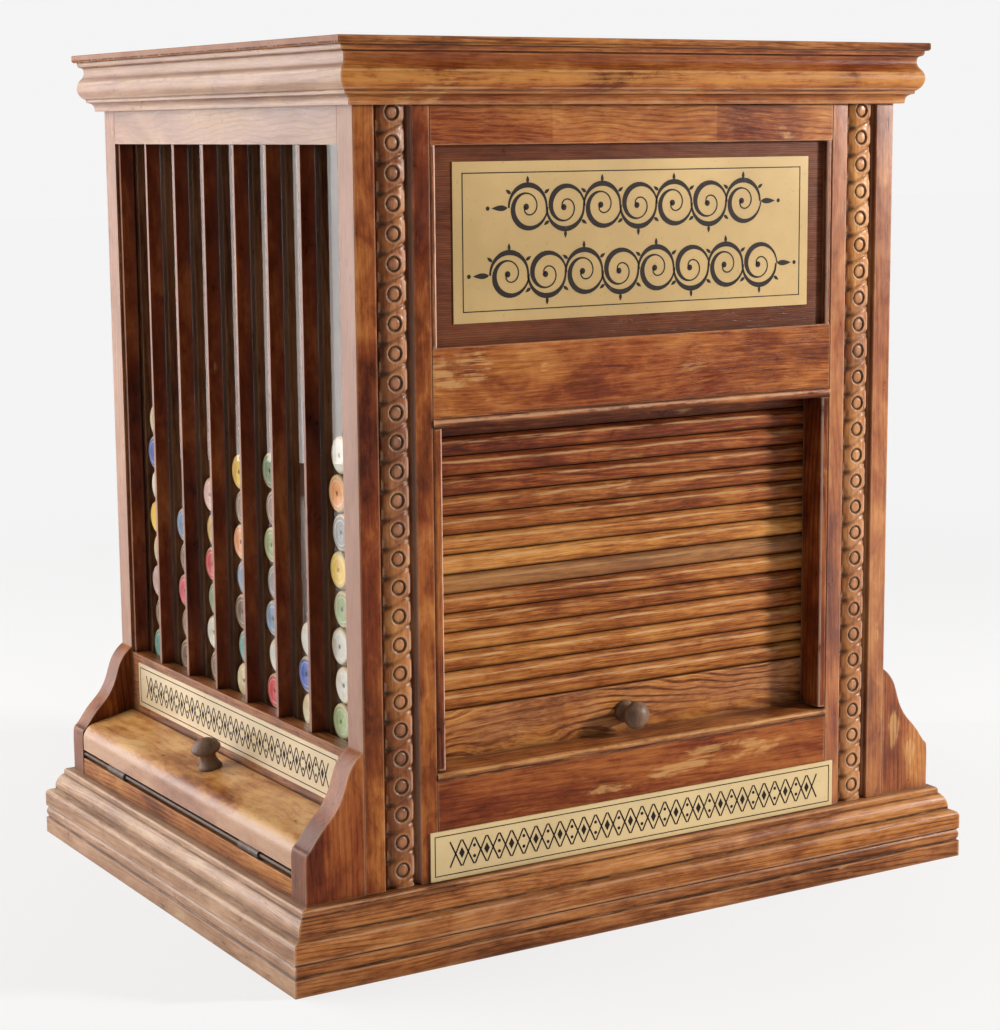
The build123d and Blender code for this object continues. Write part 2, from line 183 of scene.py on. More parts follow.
# Four tones of each wood, from its pores to its palest streaks.
RED_OAK = ((0.045, 0.007, 0.003), (0.145, 0.027, 0.007), (0.275, 0.075, 0.018), (0.450, 0.175, 0.050))
GOLD_OAK = ((0.075, 0.016, 0.004), (0.220, 0.060, 0.012), (0.390, 0.145, 0.030), (0.600, 0.290, 0.080))
DARK_OAK = ((0.020, 0.006, 0.004), (0.062, 0.016, 0.008), (0.120, 0.034, 0.014), (0.210, 0.068, 0.026))
BROWN_OAK = ((0.060, 0.017, 0.006), (0.190, 0.060, 0.019), (0.330, 0.125, 0.042), (0.500, 0.240, 0.100))
LID_OAK = ((0.100, 0.028, 0.008), (0.260, 0.085, 0.019), (0.460, 0.200, 0.052), (0.640, 0.380, 0.150))
PALE_OAK = ((0.140, 0.070, 0.050), (0.270, 0.150, 0.110), (0.375, 0.222, 0.170), (0.500, 0.325, 0.255))
PALE_GOLD = ((0.150, 0.075, 0.038), (0.300, 0.165, 0.085), (0.430, 0.268, 0.150), (0.560, 0.395, 0.250))
SUN_OAK = ((0.095, 0.042, 0.020), (0.235, 0.120, 0.065), (0.375, 0.210, 0.125), (0.540, 0.345, 0.225))
INNER_OAK = ((0.026, 0.010, 0.005), (0.080, 0.030, 0.013), (0.135, 0.056, 0.024), (0.200, 0.090, 0.042))
# Worn bare wood, also used as a painted highlight on moulding crests.
WORN_AND_HIGHLIGHT = (0.530, 0.290, 0.105)
WORN_EDGE = (0.540, 0.310, 0.170)
WORN_SLAT = (0.580, 0.350, 0.160)
# Pale rubbing with painted highlight, on arrises and carving.
RUBBED_PALE_HIGHLIGHT = (0.56, 0.37, 0.28)
DRAB = (0.205, 0.115, 0.055)
# Painted shade for crevices, grooves and corners.
CREVICE_SHADE = (0.020, 0.007, 0.004)
# Painted shade in the gaps between slats.
GAP_SHADE = (0.070, 0.020, 0.007)
# Slats by their number from the foot of the door.
BRIGHT_SLAT, DRAB_SLAT, TOP_SLAT, MIDDLE_SLAT = 7.0, 6.0, 13.5, 7.0
EDGE_RADIUS, CREVICE = 2.4 * MM, 8 * MM


class Slats:
    """Tones for a row of level slats in one piece. Each slat gets its own."""

    def __init__(self, s, height, foot, pitch, seed):
        self.s = s
        climb = s.math("DIVIDE", s.minus(height, foot), pitch)
        self.count = s.math("FLOOR", climb)
        self.level = s.math("FRACT", climb)
        draw = s.add("TexWhiteNoise", {"W": s.plus(self.count, seed)}, noise_dimensions="1D").outputs[0]
        lower = s.times(s.ramp(self.count, TOP_SLAT, MIDDLE_SLAT), 0.19)
        bright = s.times(s.math("COMPARE", self.count, BRIGHT_SLAT), 0.22)
        self.shade = s.plus(s.plus(s.plus(s.swing(draw, 0.2), lower), bright), -0.15)

    def moved(self, place):
        """A place in the grain that jumps from slat to slat."""
        s = self.s
        return s.vector("ADD", place, s.joined(x=s.times(self.count, 1.7), z=s.times(self.count, 0.9)))

    def hue(self, hue):
        s = self.s
        return s.times(s.plus(s.times(hue, 0.5), 0.5), s.ramp(self.count, 12.5, 8.0))

    def lined(self, colour, mottle, scuffs):
        """Worn crests, one drab slat, and painted shade in the gaps between slats, wider on the top slats."""
        s = self.s
        crest = s.math("ABSOLUTE", s.minus(s.plus(self.level, s.swing(mottle, 0.12)), 0.7))
        crest = s.times(s.ramp(crest, 0.1, 0.02), s.ramp(scuffs, 0.38, 0.6))
        colour = s.coat(colour, crest, 0.75, WORN_SLAT)
        colour = s.coat(colour, s.math("COMPARE", self.count, DRAB_SLAT), 0.45, DRAB)
        below = s.plus(self.level, s.times(s.ramp(self.count, 12.0, 15.0), -0.14))
        gap_shade = s.math("MINIMUM", below, s.times(s.minus(1.0, self.level), 1.6))
        return s.mix(s.times(s.ramp(gap_shade, 0.19, 0.02), 0.7), colour, GAP_SHADE)


def bent_grain(s, place, wavy):
    """The grain's place with the slow sway of real boards, and a wavy figure on top."""
    sway = s.noise(place, (8, 8, 2.4), output="Color")
    bent = s.vector("ADD", place, s.vector("MULTIPLY", sway, (0.03, 0.03, 0.0)))
    if wavy:
        swell = s.noise(place, (26, 26, 13), 1.5, output="Color")
        reach = 0.018 * wavy
        bent = s.vector("ADD", bent, s.vector("MULTIPLY", swell, (reach, reach, 0.0)))
    return bent


def growth_rings(s, bent, figure):
    place = s.vector("MULTIPLY", bent, (1.0, 1.0, 0.05))
    node = s.add("TexWave", {"Vector": place, "Scale": 135.0 * figure, "Distortion": 3.0, "Detail": 2.0,
                             "Detail Scale": 0.35, "Detail Roughness": 0.6},
                 wave_type="BANDS", bands_direction="DIAGONAL", wave_profile="SIN")
    return node.outputs["Fac"]


def spot(s, parts, x, z, half_width, half_height):
    """1 in the middle of an upright oval, 0 outside it."""
    off_x = s.times(s.minus(parts[X], x * MM), 1 / (half_width * MM))
    off_z = s.times(s.minus(parts[Z], z * MM), 1 / (half_height * MM))
    return s.ramp(s.plus(s.times(off_x, off_x), s.times(off_z, off_z)), 1.0, 0.1)


def oak(name, axis, tones, seed, wear=0.35, edges=0.6, figure=1.0, line=0.35, wavy=0.0, grain=1.0, cloud=1.0,
        gold=0.5, second=GOLD_OAK, rough=0.32, gloss=0.12, shift=0.0, corner_shade=0.6, zone=None, spots=(), bands=(),
        posts=None, side_sheen=0.0, slats=None, ribs=None, carved=False):
    """Old varnished oak with its grain along axis.

    wear, edges: how far the finish has gone on faces and on arrises
    figure, line, wavy: how close, how bold and how wavy the growth rings are
    grain, cloud: strength of the fibres and of the clouding
    gold, second: how much of it turns to the second tones, and these
    shift: how much lighter it is; rough, gloss: of its varnish; corner_shade: of painted shade in its corners
    zone: (from X, to X, how much lighter) of one board in the piece, in metres
    spots: rubbed places (X, Z, half width, half height, amount), in millimetres
    bands: level lines (Z, half height, amount, tone), in millimetres, of painted shade in grooves and gaps and
    painted highlight on crests
    posts: (half span, top, width of the pale arris line) of uprights in the same piece, in millimetres; the line
    is rubbing with painted highlight
    side_sheen: how pale the faces towards -X are, as a painted sheen
    slats: (foot, pitch) where each slat has its own tone; ribs: pitch of fine level ribs, both in metres
    carved: whether the piece's own wear layer gives its painted groove shade and its rubbing with painted
    highlight
    """
    s = Shader(name)
    place, parts = s.grain_space(axis, seed)
    if slats:
        row = Slats(s, parts[Z], *slats, seed)
        place = row.moved(place)
    if posts:
        half_span, top, rub_and_highlight = (v * MM for v in posts)
        beside = s.math("ABSOLUTE", parts[X])
        upright = s.times(s.math("GREATER_THAN", beside, half_span), s.math("LESS_THAN", parts[Z], top))
        climbing = s.joined(s.plus(parts[X], seed), parts[Y], parts[Z])
        place = s.add("Mix", {"Factor": upright, 4: place, 5: climbing}, data_type="VECTOR").outputs[1]
    bent = bent_grain(s, place, wavy)

    streaks = s.noise(bent, (760, 760, 15), 3.0, 0.65, 0.2)
    fine = s.noise(bent, (1500, 1500, 60), 2.0, 0.65)
    mottle = s.noise(place, (85, 85, 42), 5.0, 0.68, 0.5)
    broad = s.noise(place, (24, 24, 9), 4.0, 0.6, 0.6)
    tone = 0.52 + shift
    for layer, weight in ((streaks, 0.95 * grain), (fine, 0.85 * grain),
                          (mottle, 0.75 * cloud), (broad, 1.55 * cloud)):
        tone = s.plus(s.swing(layer, weight), tone)
    if slats:
        tone = s.plus(tone, row.shade)
    if zone:
        start, end, lift = zone
        inside = s.times(s.math("GREATER_THAN", parts[X], start), s.math("LESS_THAN", parts[X], end))
        tone = s.plus(tone, s.times(inside, lift))
    ring_line = s.ramp(s.plus(growth_rings(s, bent, figure), s.swing(fine, 0.9)), 0.62, 0.95)
    clear = s.ramp(s.noise(place, (13, 13, 5), 1.0), 0.36, 0.58)
    ring_line = s.times(ring_line, s.plus(s.times(clear, 0.7), 0.3))
    tone = s.math("SUBTRACT", tone, s.times(ring_line, 0.6 * line), clamp=True)

    hue = s.ramp(s.noise(place, (19, 19, 7), 3.0, 0.6, 0.4), 0.4, 0.62)
    if slats:
        hue = row.hue(hue)
    colour = s.mix(s.times(hue, gold), s.palette(tone, tones), s.palette(tone, second))
    # Painted sheen: faces towards -X turn pale.
    if side_sheen:
        calm = s.plus(s.swing(tone, 0.35), 0.62)
        sheen_facing = s.ramp(s.facing()[X], -0.6, -0.9)
        colour = s.coat(colour, sheen_facing, side_sheen, s.palette(calm, PALE_OAK))
    pores = s.ramp(s.noise(bent, (1500, 1500, 50), 1.0), 0.57, 0.66)
    porous = s.times(pores, s.plus(s.times(ring_line, 0.6), 0.25))
    colour = s.coat(colour, porous, 0.7 * min(grain, 1.0), scaled(tones[0], 0.9))

    patches = s.noise(place, (17, 17, 9), 5.0, 0.66, 0.5)
    for *oval, amount in spots:
        patches = s.plus(patches, s.times(spot(s, parts, *oval), amount))
    scuffs = s.noise(place, (420, 420, 22), 3.0, 0.7)
    threshold = 0.665 - 0.13 * wear
    bald = s.ramp(patches, threshold, threshold + 0.09)
    worn_face = s.times(bald, s.ramp(s.plus(scuffs, s.times(bald, 0.1)), 0.5, 0.64))
    rub = s.times(s.ramp(s.plus(s.edge_wear(EDGE_RADIUS), s.swing(mottle, 0.16)), 0.03, 0.13), edges)
    pale = second is PALE_GOLD
    colour = s.coat(colour, worn_face, 0.66, PALE_GOLD[3] if pale else WORN_AND_HIGHLIGHT)
    colour = s.mix(rub, colour, PALE_OAK[3] if pale else WORN_EDGE)
    bare = s.math("MAXIMUM", worn_face, rub)

    broken = s.ramp(s.plus(scuffs, s.swing(mottle, 0.8)), 0.3, 0.56)
    # Painted shade lines and painted highlights along the mouldings.
    for z, half_height, amount, shade in bands:
        off = s.math("ABSOLUTE", s.minus(parts[Z], z * MM))
        inside = s.ramp(off, half_height * MM, half_height * 0.35 * MM)
        colour = s.coat(colour, s.times(inside, broken), amount, shade)
    # Pale line on the uprights' front arrises: rubbing with painted highlight.
    if posts:
        arris = s.times(upright, s.math("LESS_THAN", beside, half_span + rub_and_highlight))
        arris = s.times(arris, s.ramp(s.facing()[Y], -0.3, -0.6))
        arris = s.times(arris, s.ramp(s.plus(mottle, s.times(fine, 0.3)), 0.38, 0.62))
        colour = s.coat(colour, arris, 0.8, RUBBED_PALE_HIGHLIGHT)
    if ribs:
        wave = s.ramp(s.math("SINE", s.times(parts[Z], 2 * math.pi / ribs)), -0.4, 0.8)
        colour = s.coat(colour, wave, 0.38, scaled(tones[1], 0.6))
    if slats:
        colour = row.lined(colour, mottle, scuffs)
    # The carving's own layer: painted shade in its grooves, and rubbing with painted highlight.
    if carved:
        groove_shade_layer, rub_highlight_layer, _ = s.add("SeparateColor", {0: s.layer("wear")}).outputs
        colour = s.coat(colour, rub_highlight_layer, 0.55, RUBBED_PALE_HIGHLIGHT)
        colour = s.coat(colour, groove_shade_layer, 0.9, CREVICE_SHADE)
    # Painted shade in corners and crevices, from ambient occlusion.
    colour = s.coat(colour, s.ramp(s.hollow(CREVICE), 0.9, 0.3), corner_shade, CREVICE_SHADE)

    height = s.plus(s.minus(s.times(streaks, 0.5), s.times(porous, 0.9)), s.plus(s.times(fine, 0.4), broad))
    dull = s.plus(s.plus(s.swing(mottle, 0.3), rough), s.times(bare, 0.2))
    return s.finish(colour, dull, height, 0.35 * min(1.0, grain + 0.25), 0.3, Specular_IOR_Level=gloss)


# ---- other materials

def gold_plate(name, tone, seed):
    """A thin brass-coloured sheet sign, a little dulled."""
    s = Shader(name)
    place = s.vector("ADD", s.own_place(), (seed, seed * 0.7, seed * 0.3))
    cloud = s.noise(place, (9, 9, 9), 4.0, 0.6)
    speck = s.noise(place, (420, 420, 420))
    colour = s.mix(s.ramp(cloud, 0.35, 0.7), scaled(tone, 0.9), scaled(tone, 1.08))
    colour = s.coat(colour, s.ramp(speck, 0.66, 0.74), 0.35, (0.22, 0.14, 0.06))
    return s.finish(colour, s.plus(s.times(cloud, 0.12), 0.26), s.plus(cloud, s.times(speck, 0.1)), 0.12, 0.3,
                    Metallic=0.12, Coat_Weight=0.3, Coat_Roughness=0.12)


def black_paint():
    s = Shader("sign_black")
    rub = s.noise(s.own_place(), (160, 160, 160), 5.0, 0.7)
    colour = s.mix(s.ramp(rub, 0.6, 0.72), (0.016, 0.01, 0.009), (0.06, 0.036, 0.02))
    return s.finish(colour, s.plus(s.times(rub, 0.2), 0.4), rub, 0.1, 0.1, Specular_IOR_Level=0.12)


def window_glass():
    """Clear glass with a faint film, that lets the lamps through to what is behind it."""
    s = Shader("pane_glass")
    film = s.noise(s.own_place(), (14, 14, 5), 3.0, 0.6)
    rough = s.times(s.ramp(film, 0.4, 0.85), 0.012)
    pane = s.add("BsdfPrincipled", {"Base Color": (0.97, 0.985, 0.98, 1.0), "Roughness": rough, "IOR": 1.185,
                                    "Transmission Weight": 1.0})
    clear = s.add("BsdfTransparent", {"Color": (0.9, 0.92, 0.91, 1.0)})
    lamp = s.add("LightPath").outputs["Is Shadow Ray"]
    s.show(s.either(lamp, pane, clear))
    return s.material


def thread_and_paper():
    """Reels: turned birch, thread and paper labels, told apart by the piece's own colour layer."""
    s = Shader("reel_mixed")
    place = s.own_place()
    soft = s.noise(place, (420, 420, 420), 3.0, 0.6)
    age = s.noise(place, (75, 75, 75), 3.0, 0.6)
    colour = s.mix(s.ramp(age, 0.4, 0.75), s.layer("tint"), (0.8, 0.68, 0.5), "MULTIPLY")
    colour = s.coat(colour, soft, 0.2, (0.16, 0.12, 0.09))
    return s.finish(colour, s.plus(s.times(soft, 0.3), 0.42), soft, 0.25, 0.2)


def turned_wood(name, tones, seed):
    """A turned knob, with painted shade where it meets its board."""
    s = Shader(name)
    place, _ = s.grain_space(Z, seed)
    rings = s.noise(place, (330, 330, 60), 4.0, 0.6, 0.5)
    patch = s.noise(place, (70, 70, 70), 4.0, 0.65)
    tone = s.plus(s.times(rings, 0.55), s.times(patch, 0.45))
    colour = s.palette(tone, tones, (0.0, 0.4, 0.65, 1.0))
    # Painted shade in the corner where the knob meets its board.
    colour = s.coat(colour, s.ramp(s.hollow(6 * MM), 0.9, 0.3), 0.75, CREVICE_SHADE)
    return s.finish(colour, s.plus(s.times(patch, 0.22), 0.4), rings, 0.25, 0.3, Specular_IOR_Level=0.3)


def old_steel():
    s = Shader("hinge_steel")
    rust = s.noise(s.own_place(), (240, 240, 240), 5.0, 0.7)
    colour = s.mix(s.ramp(rust, 0.46, 0.64), (0.075, 0.058, 0.05), (0.085, 0.04, 0.022))
    return s.finish(colour, s.plus(s.times(rust, 0.35), 0.3), rust, 0.3, 0.2,
                    Metallic=0.45, Specular_IOR_Level=0.3)


def canvas():
    s = Shader("canvas_cloth")
    place = s.own_place()
    threads = s.add("TexBrick", {"Vector": place, "Scale": 700.0}).outputs["Fac"]
    dust = s.noise(place, (60, 60, 60), 3.0)
    colour = s.mix(threads, (0.42, 0.34, 0.24), (0.26, 0.2, 0.13))
    colour = s.coat(colour, dust, 0.4, (0.2, 0.15, 0.1))
    return s.finish(colour, s.plus(s.times(dust, 0.1), 0.82), threads, 0.4, 0.2)


# ---- pieces

def new_piece(name, verts, faces, body, material, replaces=(), crease=35):
    """A mesh piece in the row frame, in millimetres, smooth apart from sharp creases."""
    mesh = bpy.data.meshes.new(name)
    mesh.from_pydata([(x * MM, y * MM, z * MM) for x, y, z in verts], [], faces)
    mesh.polygons.foreach_set("use_smooth", [True] * len(mesh.polygons))
    mesh.set_sharp_from_angle(angle=math.radians(crease))
    mesh.materials.append(material)
    piece = bpy.data.objects.new(name, mesh)
    scene.collection.objects.link(piece)
    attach(piece, body)
    if replaces:
        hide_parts(*replaces)
    return piece


def colour_layer(piece, name, colours):
    """Gives each point of the piece its own colour."""
    layer = piece.data.color_attributes.new(name, "FLOAT_COLOR", "POINT")
    layer.data.foreach_set("color", [v for colour in colours for v in rgba(colour)])


def soften(node, width):
    """Rounds a CAD node's arrises."""
    weld = node.modifiers.new("weld", "WELD")
    weld.merge_threshold = 0.02 * MM
    bevel = node.modifiers.new("round", "BEVEL")
    bevel.width = width * MM
    bevel.segments = 2
    bevel.limit_method = "ANGLE"
    bevel.angle_limit = math.radians(38)
    bevel.use_clamp_overlap = True
    node.modifiers.new("shade", "WEIGHTED_NORMAL")


def paint(node, material):
    node.data.materials.clear()
    node.data.materials.append(material)


def ring(radius, sides):
    turns = [2 * math.pi * k / sides for k in range(sides)]
    return [(radius * math.cos(turn), radius * math.sin(turn)) for turn in turns]


def around(rings, sides, start=0):
    """Each point and its neighbour, round every ring of points but the last."""
    for first in range(start, start + (rings - 1) * sides, sides):
        for k in range(sides):
            yield first + k, first + (k + 1) % sides


# ---- carved strips

STRIP_X = 201.25
STRIP_HALF = 10.8
STRIP_FOOT, STRIP_TOP = 55.7, 595.4
STRIP_BACK, STRIP_EDGE, STRIP_CROWN, STRIP_LIMIT = -208.05, -209.6, -212.2, -212.8
EYE_FIRST, EYE_PITCH = 68.5, 20.08
EYE_RADIUS, EYE_RIM = 4.75, 1.5
STRIP_STEP, STRIP_COLUMNS = 0.46, 46
# Painted shade on the strip's back edges, left and right.
BACK_SHADE = ((0.45, 0.0), (0.9, 0.0))


def bell(distance, width):
    return np.exp(-(distance / width) ** 2)


def carving(u, v):
    """Depth below the crown, painted shade in the grooves, and rubbing with painted highlight of the carving: a
    cushion cut by S-lines between ringed eyes.
    """
    phase = (v - EYE_FIRST) / EYE_PITCH
    nearest = (phase - np.round(phase)) * EYE_PITCH
    side = np.abs(u) / STRIP_HALF
    pinch = bell(np.abs(nearest) - EYE_PITCH / 2 - 0.16 * u, 2.6)
    half = STRIP_HALF - 2.6 * pinch * np.clip(side, 0, 1) ** 2
    across = np.clip(np.abs(u) / half, 0, 1)
    depth = np.where(np.abs(u) > half, 3.2, (STRIP_EDGE - STRIP_CROWN) * across ** 3.2)
    bend = 3.4 * np.sin(np.clip(u / STRIP_HALF, -1, 1) * math.pi / 2)
    between = (phase - np.floor(phase) - 0.5) * EYE_PITCH - bend
    cut = bell(between, 1.15 + 0.6 * side) * (0.7 + 0.9 * side ** 2)
    notch = bell(between, 2.1) * np.clip(-u / STRIP_HALF - 0.45, 0, 1) * 2.4
    radius = np.hypot(u, nearest)
    groove = bell(radius - EYE_RADIUS, 0.8)
    lip = bell(radius - EYE_RADIUS - EYE_RIM, 0.8)
    eye = np.where(radius < EYE_RADIUS, 0.1 + 0.45 * (radius / EYE_RADIUS) ** 2, 0)
    flat = np.where(radius < EYE_RADIUS + EYE_RIM, 0.45, 1.0)
    depth = depth * flat + cut * (radius > EYE_RADIUS + 0.6) + notch + 0.95 * groove - 0.18 * lip + eye
    # Painted shade in the ring grooves, the S-cuts, the notches and the gap beyond the right edge.
    groove_shade = 1.1 * groove + 0.5 * cut * (radius > EYE_RADIUS) + 0.3 * notch + np.where(u > half, 0.7, 0.0)
    # Pale rubbing with painted highlight on the right flank, the ring lips and the middle of each eye.
    rub_and_highlight = bell(u - 0.84 * half, 1.3) * (1 - pinch) + 0.15 * lip + 0.3 * bell(radius - 1.0, 1.6)
    return depth, np.clip(groove_shade, 0, 1), np.clip(rub_and_highlight, 0, 1)


def hand_wobble(rows, columns):
    """The unevenness of carving by hand."""
    coarse = np.random.default_rng(7).normal(0, 0.1, (rows // 12 + 1, columns // 6 + 1))
    wobble = np.repeat(np.repeat(coarse, 12, 0), 6, 1)[:rows, :columns]
    for turn in (0, 1) * 3:
        wobble = (wobble + np.roll(wobble, 2, turn) + np.roll(wobble, -2, turn)) / 3
    return wobble


def carved_strip():
    """Points and faces of the left strip, and (painted groove shade, rubbing with painted highlight) of each
    point.
    """
    columns, rows = STRIP_COLUMNS, int((STRIP_TOP - STRIP_FOOT) / STRIP_STEP)
    heights = np.linspace(STRIP_FOOT, STRIP_TOP, rows)
    u, v = np.meshgrid(np.linspace(-STRIP_HALF, STRIP_HALF, columns), heights)
    depth, groove_shade, rub_and_highlight = carving(u, v)
    front = np.clip(STRIP_CROWN + depth + hand_wobble(rows, columns), STRIP_LIMIT, STRIP_BACK - 0.3)
    verts = [(-STRIP_X + x, y, z) for x, y, z in zip(u.ravel(), front.ravel(), v.ravel())]
    back = len(verts)
    verts += [(-STRIP_X + x, STRIP_BACK, height) for height in heights for x in (-STRIP_HALF, STRIP_HALF)]
    faces = []
    for r in range(rows - 1):
        left, right, b = r * columns, (r + 1) * columns - 1, back + 2 * r
        faces += [(a, a + 1, a + columns + 1, a + columns) for a in range(left, right)]
        faces += [(b, left, left + columns, b + 2), (right, b + 1, b + 3, right + columns),
                  (b + 1, b, b + 2, b + 3)]
    last, end = (rows - 1) * columns, back + 2 * (rows - 1)
    faces.append((back, back + 1, *reversed(range(columns))))
    faces.append((*range(last, last + columns), end + 1, end))
    wear = [*zip(groove_shade.ravel().tolist(), rub_and_highlight.ravel().tolist()), *BACK_SHADE * rows]
    return verts, faces, wear


# ---- reels

CHUTE_BACK_X, REEL_LENGTH, REEL_R, TROUGH_FLOOR = 182.0, 32.8, 14.0, 68.0
FIRST_BAR_Y, CHUTE_PITCH, DIVIDER = 191.0, 53.3, 16.0
BACK_IN = 193.0
# (gaps between reels, height of the top reel) of each chute, from the back to the front.
REEL_COLUMNS = ((10, 348.1), (7, 269.2), (8, 300.2), (9, 324.5), (9, 331.7), (5, 215.0), (10, 355.6))
LEANS_BACK = (1, 1, 0, 1, 1, 0, 1)
UPRIGHT_COLUMN = 5
SWAY, SET_BACK = 2.4, 1.8
BIRCH = (0.4, 0.27, 0.12)
THREADS = {
    "cream": (0.46, 0.37, 0.22), "white": (0.46, 0.43, 0.38), "blue": (0.02, 0.06, 0.3),
    "pale_blue": (0.1, 0.16, 0.27), "yellow": (0.58, 0.36, 0.01), "ochre": (0.34, 0.18, 0.02),
    "turquoise": (0.06, 0.22, 0.2), "red": (0.46, 0.01, 0.02), "pink": (0.48, 0.05, 0.08),
    "rose": (0.44, 0.27, 0.25), "brown": (0.11, 0.05, 0.02), "peach": (0.52, 0.2, 0.07),
    "green": (0.1, 0.15, 0.07), "pale_green": (0.2, 0.25, 0.1), "grey": (0.13, 0.13, 0.14),
    "orange": (0.55, 0.2, 0.03),
}
# Thread colours up each chute, from the trough upwards.
STOCK = (
    "cream brown white turquoise brown rose cream yellow white blue cream",
    "brown cream brown brown brown pink brown pale_blue",
    "cream brown white brown white green red ochre rose",
    "cream green brown cream turquoise brown pale_blue peach brown yellow",
    "brown cream ochre red white pale_blue grey pale_green brown green",
    "cream grey white cream blue white",
    "cream white brown pale_green white white pale_green yellow grey orange white",
)


def reel_rings(label, thread):
    """Rings of one reel along X: place, radius and colour, from its outer end to its inner one."""
    half = REEL_LENGTH / 2
    rim = scaled(BIRCH, 0.8)
    # The reel's bore is closed; its centre gets painted shade in the label's colour.
    pale, bore_shade = tuple(0.6 * c + 0.22 for c in label), scaled(label, 0.45)
    outer = [(0.9, 1.4, bore_shade), (0.1, 1.8, label), (0, 2.0, label), (0, 8.4, label), (0, 8.6, pale),
             (0, 9.3, pale), (0, 9.5, label), (0, 11.4, label), (0, 11.6, BIRCH), (0.15, 12.1, BIRCH),
             (0.7, 13.0, rim), (1.6, 13.45, rim), (2.7, 13.45, BIRCH), (3.6, 12.7, BIRCH), (4.0, 12.0, BIRCH),
             (4.1, 11.9, thread), (7.0, 12.3, thread)]
    return ([(-half + x, r, c) for x, r, c in outer] + [(0, 12.4, thread)]
            + [(half - x, r, c) for x, r, c in reversed(outer)])


def make_reel(label, thread, sides=28):
    rings = reel_rings(label, thread)
    verts = [(x, *point) for x, radius, _ in rings for point in ring(radius, sides)]
    colours = [colour for *_, colour in rings for _ in range(sides)]
    faces = [(a, a + sides, b + sides, b) for a, b in around(len(rings), sides)]
    last = (len(rings) - 1) * sides
    faces += [tuple(range(sides)), tuple(reversed(range(last, last + sides)))]
    return np.array(verts), colours, faces


def reel_places():
    """(middle, stands upright, colour name) of every reel on the left side."""
    middle_x = -(CHUTE_BACK_X + 0.4 + REEL_LENGTH / 2)
    lowest = TROUGH_FLOOR + REEL_R
    for column, (gaps, top) in enumerate(REEL_COLUMNS):
        high_y = min(FIRST_BAR_Y - column * CHUTE_PITCH - DIVIDER / 2, BACK_IN)
        low_y = FIRST_BAR_Y - (column + 1) * CHUTE_PITCH + DIVIDER / 2
        middle_y = (high_y + low_y) / 2
        step = (top - lowest) / gaps
        for i, name in enumerate(STOCK[column].split()):
            sway = SWAY if i % 2 == LEANS_BACK[column] else -SWAY
            yield (middle_x, middle_y + SET_BACK + sway, lowest + i * step), False, name
        if column == UPRIGHT_COLUMN:
            upright_z = top + REEL_R + REEL_LENGTH / 2 + 0.2
            yield (middle_x, middle_y + SET_BACK + SWAY, upright_z), True, "pink"


def make_reels(side, material):
    draw = random.Random(11)
    verts, faces, tints = [], [], []
    for place, upright, name in reel_places():
        hue = THREADS[name]
        shade = 0.85 + 0.25 * draw.random()
        label = tuple(min(1.0, c * shade) for c in hue)
        points, colours, reel_faces = make_reel(label, scaled(hue, 0.92))
        turn = Matrix.Rotation(draw.random() * 6.28, 3, "X")
        if upright:
            turn = Matrix.Rotation(math.radians(90), 3, "Y") @ turn
        points = points @ np.array(turn).T + np.array(place)
        faces += [tuple(len(verts) + i for i in face) for face in reel_faces]
        verts += [tuple(point) for point in points]
        tints += colours
    if side == "right":
        verts = [(-x, y, z) for x, y, z in verts]
        faces = [tuple(reversed(face)) for face in faces]
    piece = new_piece(f"{side}_reel_stock", verts, faces, "cabinet", material, [f"{side}_reels"], 50)
    colour_layer(piece, "tint", tints)


# ---- knobs

def knob_profile(cap_r, length):
    """Radius and height of the turned knob's outline, from its foot to its crown."""
    neck_r, foot_r, shoulder_r = cap_r * 0.46, cap_r * 0.78, cap_r * 0.6
    waist_r, rim = foot_r * 0.96, 0.7 * length
    points = [(foot_r, 0.0), (foot_r, 0.06 * length), (waist_r, 0.1 * length)]
    for i in range(1, 13):
        t = i / 12
        points.append((neck_r + (waist_r - neck_r) * (1 - t) ** 2 + (shoulder_r - neck_r) * t ** 3,
                       (0.1 + 0.4 * t) * length))
    for i in range(1, 9):
        turn = i / 8 * math.pi / 2
        points.append((cap_r * (0.6 + 0.395 * math.sin(turn)),
                       0.5 * length + (rim - 0.5 * length) * (1 - math.cos(turn))))
    crown_r = (cap_r ** 2 + (length - rim) ** 2) / (2 * (length - rim))
    half = math.asin(cap_r / crown_r)
    for i in range(1, 15):
        turn = half * (1 - i / 15)
        points.append((0.997 * crown_r * math.sin(turn), length - crown_r * (1 - math.cos(turn)) - 0.03))
    return points


def make_knob(name, node, body, cap_r, length, place, material, sides=56):
    profile = knob_profile(cap_r, length)
    verts = [(*point, height) for radius, height in profile for point in ring(radius, sides)]
    faces = [(a, b, b + sides, a + sides) for a, b in around(len(profile), sides)]
    crown, last = len(verts), len(verts) - sides
    verts.append((0, 0, length - 0.03))
    faces += [(last + k, last + (k + 1) % sides, crown) for k in range(sides)]
    faces.append(tuple(reversed(range(sides))))
    placed = [tuple(place @ Vector(v)) for v in verts]
    return new_piece(name, placed, faces, body, material, [node])


# ---- sign ornament

